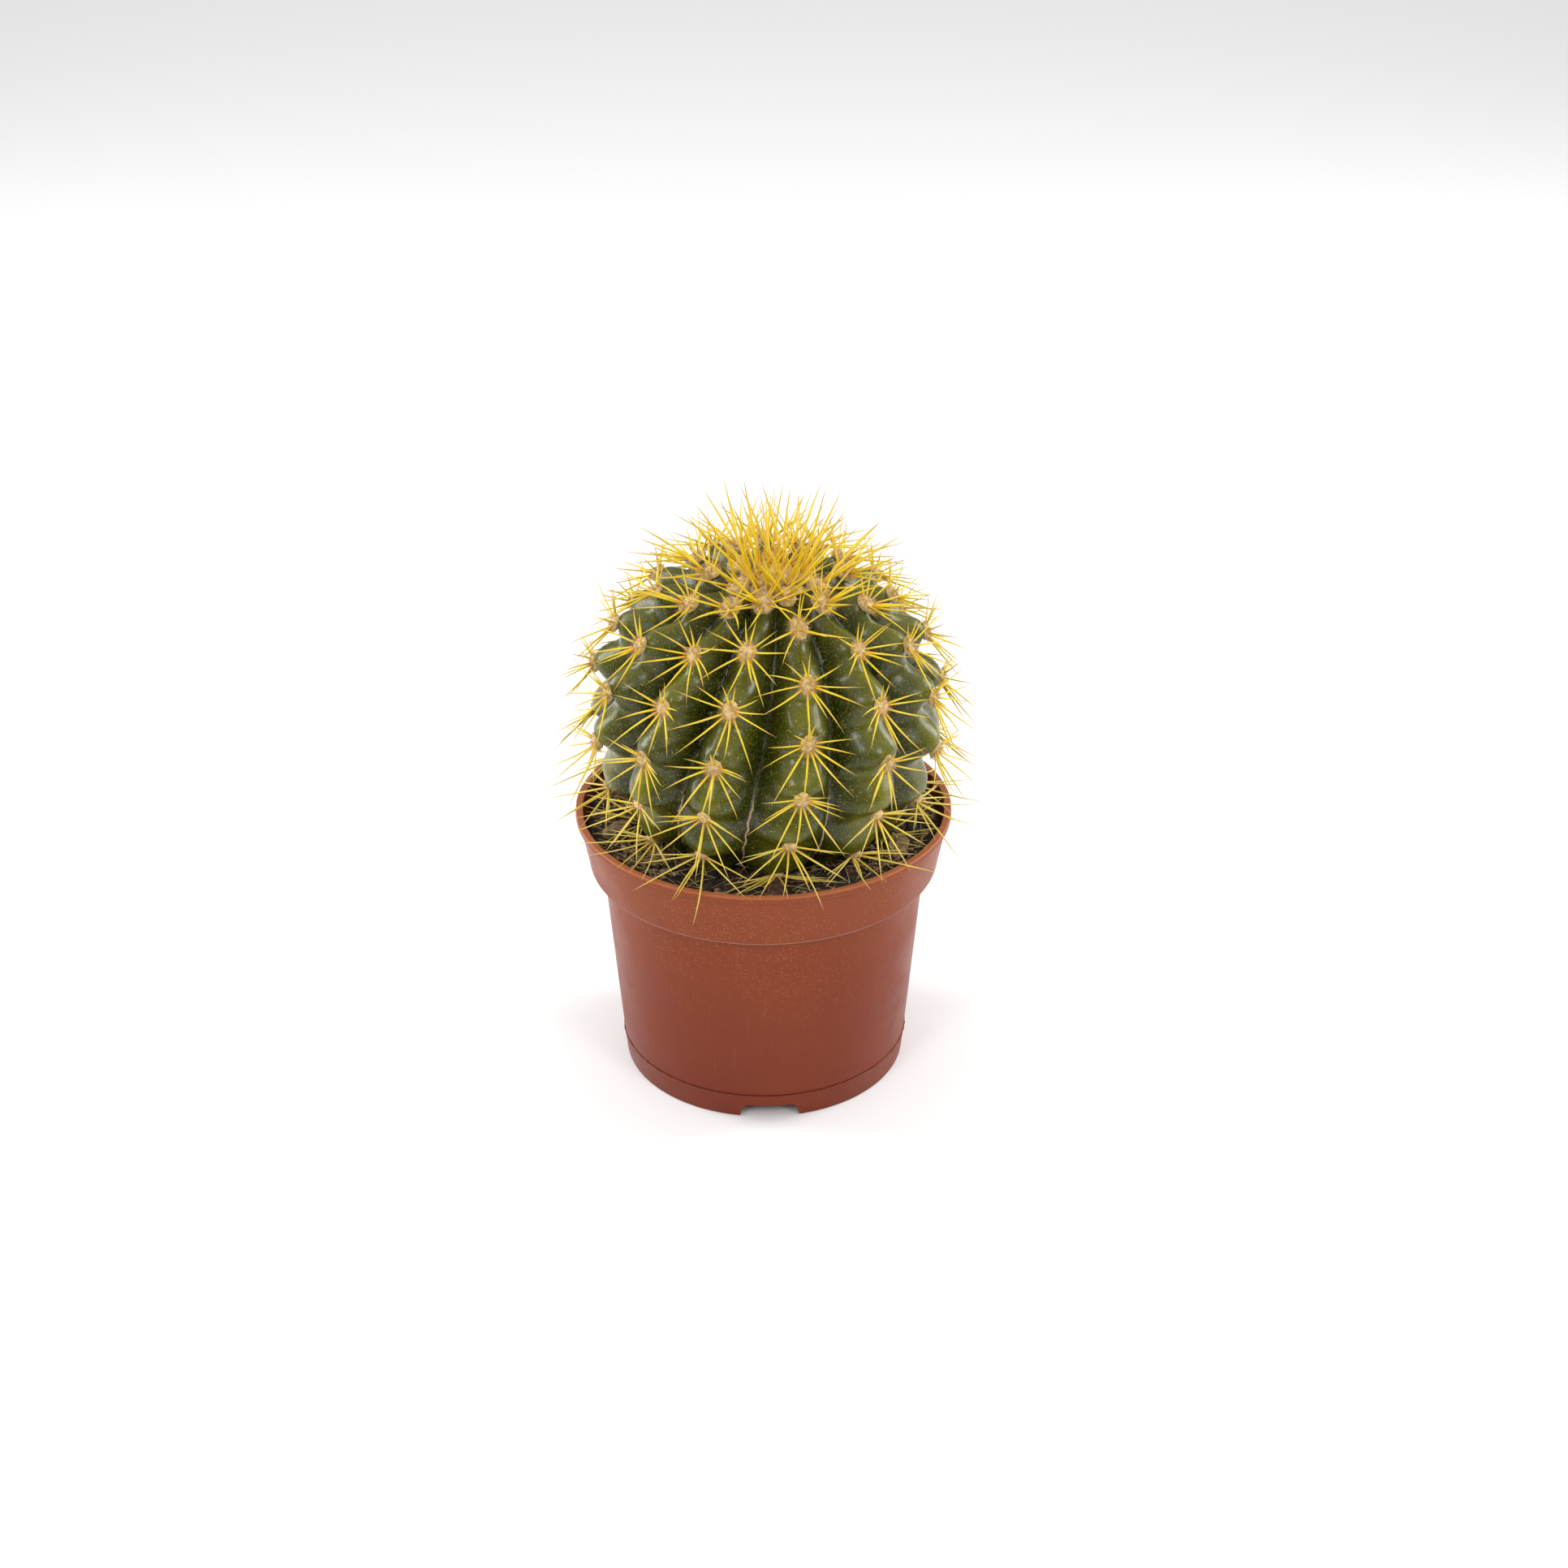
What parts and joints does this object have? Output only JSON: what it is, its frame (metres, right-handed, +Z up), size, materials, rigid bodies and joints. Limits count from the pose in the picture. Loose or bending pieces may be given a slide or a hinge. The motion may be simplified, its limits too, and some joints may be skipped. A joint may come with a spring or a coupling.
{
  "type": "potted round cactus",
  "caption": "Round ribbed cactus with clusters of yellow spines, growing in soil in a tapered terracotta-coloured plastic nursery pot with a collar.",
  "frame": {"origin": "middle of the pot's foot, on the surface that it stands on, under the centre of the whole plant", "axes": "+Z up along the pot's axis; -Y is the front, towards which the plant leans a little; +X to the right seen from the front"},
  "size_m": [0.1384, 0.1384, 0.2004],
  "materials": {
    "pot_plastic": "satin moulded polypropylene, dusty, with faint vertical scuffs",
    "peat": "dark crumbly peat with straw fibres",
    "stem_skin": "glossy waxy living skin",
    "root": "dry fibrous root",
    "spine": "smooth yellow spine on tan felt",
    "bark": "rough reddish bark"
  },
  "bodies": {
    "root": {"pot": "pot_plastic", "soil": "peat", "cactus_stem": "stem_skin", "roots": "root", "crown_tuft": "spine", "bark_chip_1": "bark", "bark_chip_2": "bark", "bark_chip_3": "bark", "spines_rib_01_row_1": "spine", "spines_rib_01_row_2": "spine", "spines_rib_01_row_3": "spine", "spines_rib_01_row_4": "spine", "spines_rib_02_row_1": "spine", "spines_rib_02_row_2": "spine", "spines_rib_02_row_3": "spine", "spines_rib_02_row_4": "spine", "spines_rib_03_row_1": "spine", "spines_rib_03_row_2": "spine", "spines_rib_03_row_3": "spine", "spines_rib_03_row_4": "spine", "spines_rib_04_row_1": "spine", "spines_rib_04_row_2": "spine", "spines_rib_04_row_3": "spine", "spines_rib_04_row_4": "spine", "spines_rib_05_row_1": "spine", "spines_rib_05_row_2": "spine", "spines_rib_05_row_3": "spine", "spines_rib_05_row_4": "spine", "spines_rib_06_row_1": "spine", "spines_rib_06_row_2": "spine", "spines_rib_06_row_3": "spine", "spines_rib_06_row_4": "spine", "spines_rib_07_row_1": "spine", "spines_rib_07_row_2": "spine", "spines_rib_07_row_3": "spine", "spines_rib_07_row_4": "spine", "spines_rib_08_row_1": "spine", "spines_rib_08_row_2": "spine", "spines_rib_08_row_3": "spine", "spines_rib_08_row_4": "spine", "spines_rib_09_row_1": "spine", "spines_rib_09_row_2": "spine", "spines_rib_09_row_3": "spine", "spines_rib_09_row_4": "spine", "spines_rib_10_row_1": "spine", "spines_rib_10_row_2": "spine", "spines_rib_10_row_3": "spine", "spines_rib_10_row_4": "spine", "spines_rib_11_row_1": "spine", "spines_rib_11_row_2": "spine", "spines_rib_11_row_3": "spine", "spines_rib_11_row_4": "spine", "spines_rib_12_row_1": "spine", "spines_rib_12_row_2": "spine", "spines_rib_12_row_3": "spine", "spines_rib_12_row_4": "spine", "spines_rib_13_row_1": "spine", "spines_rib_13_row_2": "spine", "spines_rib_13_row_3": "spine", "spines_rib_13_row_4": "spine"}
  },
  "joints": []
}
